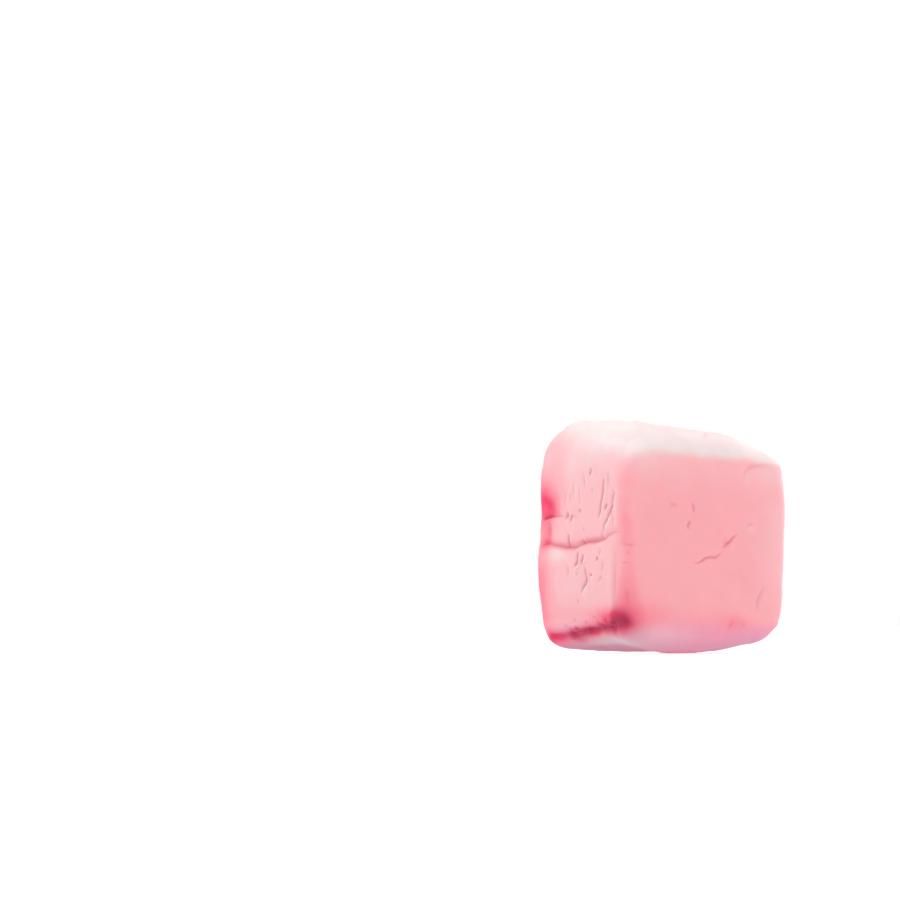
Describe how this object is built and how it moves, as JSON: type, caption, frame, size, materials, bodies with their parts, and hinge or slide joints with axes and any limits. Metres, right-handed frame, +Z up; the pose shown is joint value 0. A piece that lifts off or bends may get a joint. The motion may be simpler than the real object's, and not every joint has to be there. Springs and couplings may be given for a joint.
{
  "type": "fruit candy cube",
  "caption": "Small upright block of soft pink fruit chew with rounded edges, wrapper creases on its ends and a flat spot to rest on.",
  "frame": {"origin": "middle of the bounding box at the flat spot that the sweet rests on", "axes": "+Z up, -Y out of the broad smooth face, -X out of the creased end"},
  "size_m": [0.0154, 0.0144, 0.0179],
  "materials": {
    "taffy": "soft, slightly waxy pink taffy, satin and translucent at the edges, with a faint pale bloom"
  },
  "bodies": {
    "root": {"chew": "taffy"}
  },
  "joints": []
}
